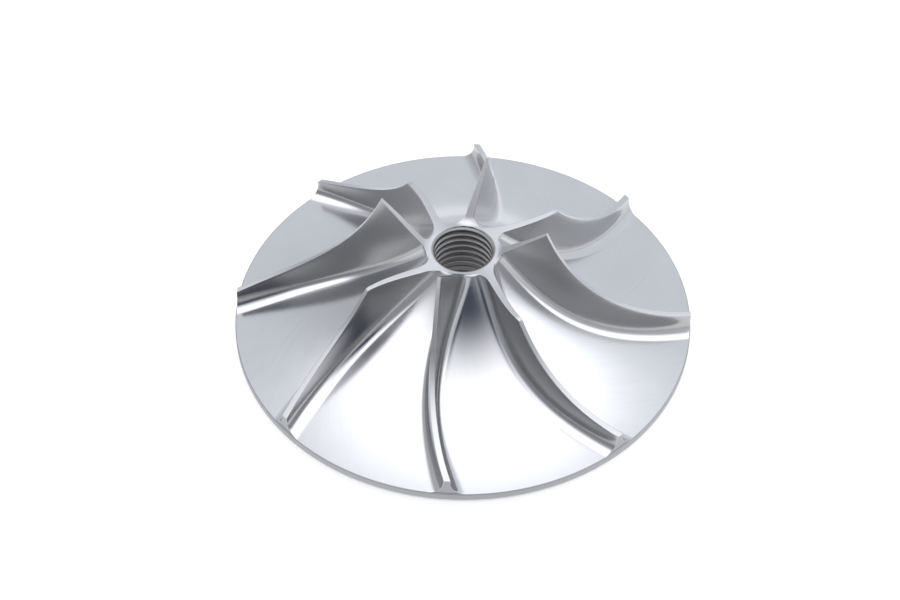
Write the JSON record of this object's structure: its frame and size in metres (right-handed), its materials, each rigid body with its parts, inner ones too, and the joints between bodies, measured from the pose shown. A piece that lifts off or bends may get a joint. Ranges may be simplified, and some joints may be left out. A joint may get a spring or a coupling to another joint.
{
  "type": "pump impeller",
  "caption": "Open pump impeller in one piece: a thin disc sweeping up to a hub with a threaded bore, and curved blades, alternately tall and low.",
  "frame": {"origin": "centre of the flat back face, on the shaft axis", "axes": "+Z along the shaft axis from the flat back face to the nose; +X and +Y lie in the back face, and the outer end of one low blade is 41.2 degrees from +X towards +Y"},
  "size_m": [0.088, 0.088, 0.0295],
  "materials": {
    "machined_aluminium": "bare milled and turned aluminium, satin, with fine tool marks"
  },
  "bodies": {
    "root": {"impeller": "machined_aluminium"}
  },
  "joints": []
}
